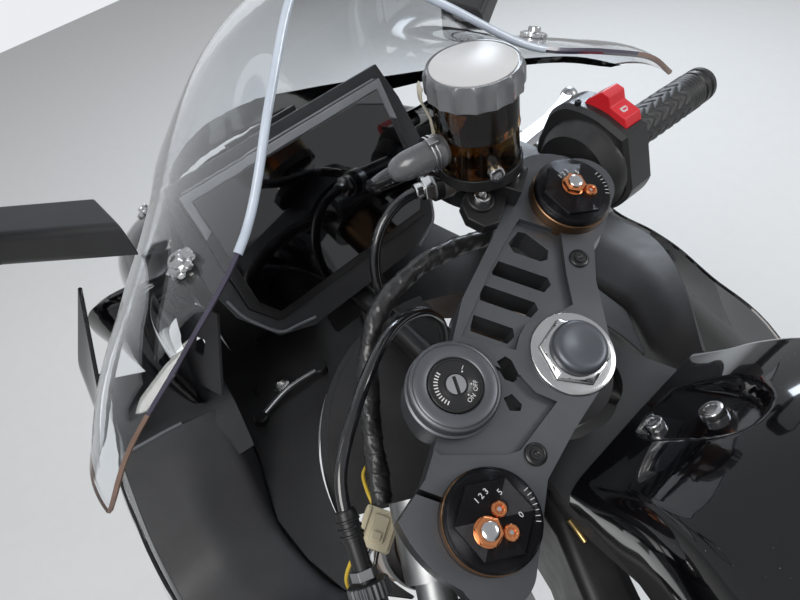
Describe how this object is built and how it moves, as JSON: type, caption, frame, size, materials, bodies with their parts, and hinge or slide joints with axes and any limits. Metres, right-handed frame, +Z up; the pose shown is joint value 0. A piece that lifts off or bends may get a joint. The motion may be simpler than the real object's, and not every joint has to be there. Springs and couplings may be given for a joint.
{
  "type": "sport motorcycle front section",
  "caption": "Cockpit, steering, main frame and tank of a sport motorcycle, with fairing and windscreen, held at the swingarm pivot; the steering turns between its stops.",
  "frame": {"origin": "on the swingarm pivot's axis at mid-width", "axes": "+X forward, +Y along the pivot to the rider's left, +Z up"},
  "size_m": [1.0894, 0.7092, 0.928],
  "materials": {
    "amber": "translucent",
    "black_anodised": "gloss",
    "black_metal": "satin",
    "black_plastic": "matte",
    "bronze": "satin",
    "cable_black": "gloss",
    "cap_grey": "satin",
    "cast_grey": "matte",
    "clamp_grey": "satin",
    "clear_screen": "clear",
    "copper": "satin",
    "cream_plastic": "satin",
    "dark_grey": "matte",
    "frame_black": "satin",
    "gloss_black": "gloss",
    "hose_rubber": "matte",
    "lamp_lens": "gloss",
    "lever_metal": "satin",
    "lock_grey": "satin",
    "mirror": "mirror",
    "red_plastic": "satin",
    "rubber": "matte",
    "screen_glass": "gloss",
    "steel": "satin",
    "textured_plastic": "textured"
  },
  "bodies": {
    "chassis": {"cowl_stays": "black_metal", "dash_glass": "screen_glass", "dash_housing": "black_plastic", "dash_surround": "textured_plastic", "fairing_stay": "black_metal", "frame": "frame_black", "frame_cover": "textured_plastic", "fuel_tank": "gloss_black", "headlamps": "lamp_lens", "inner_panels": "textured_plastic", "mirror_arms": "textured_plastic", "mirror_glasses": "mirror", "mirror_heads": "textured_plastic", "nose_tray": "black_plastic", "recess_panels": "textured_plastic", "side_cowls": "gloss_black", "upper_cowl": "gloss_black", "windscreen": "clear_screen"},
    "steering": {"bar_ends": "black_metal", "brake_hose": "cable_black", "brake_lever": "lever_metal", "brake_master": "black_metal", "brake_reservoir": "amber", "clamp_plugs": "black_plastic", "clip_ons": "black_metal", "clutch_cable": "cable_black", "clutch_lever": "lever_metal", "clutch_perch": "black_metal", "connector": "cream_plastic", "fork_adjusters": "copper", "fork_caps": "black_anodised", "fork_legs": "steel", "fork_tubes": "bronze", "grips": "rubber", "ignition_face": "black_plastic", "ignition_lock": "lock_grey", "kill_switch": "red_plastic", "lower_clamp": "cast_grey", "reservoir_bracket": "black_metal", "reservoir_cap": "cap_grey", "reservoir_hose": "hose_rubber", "steering_stem": "steel", "stem_cap": "dark_grey", "stem_nut": "steel", "switch_housing_left": "black_plastic", "switch_housing_right": "black_plastic", "top_clamp": "clamp_grey", "wiring_loom": "cable_black", "yoke_cover": "black_plastic"}
  },
  "joints": [
    {"name": "steering", "type": "hinge", "parent": "chassis", "child": "steering", "pos_m": [0.545, 0, 0.54], "axis": [-0.3843, 0, 0.9232], "range_deg": [-58, 0]}
  ]
}
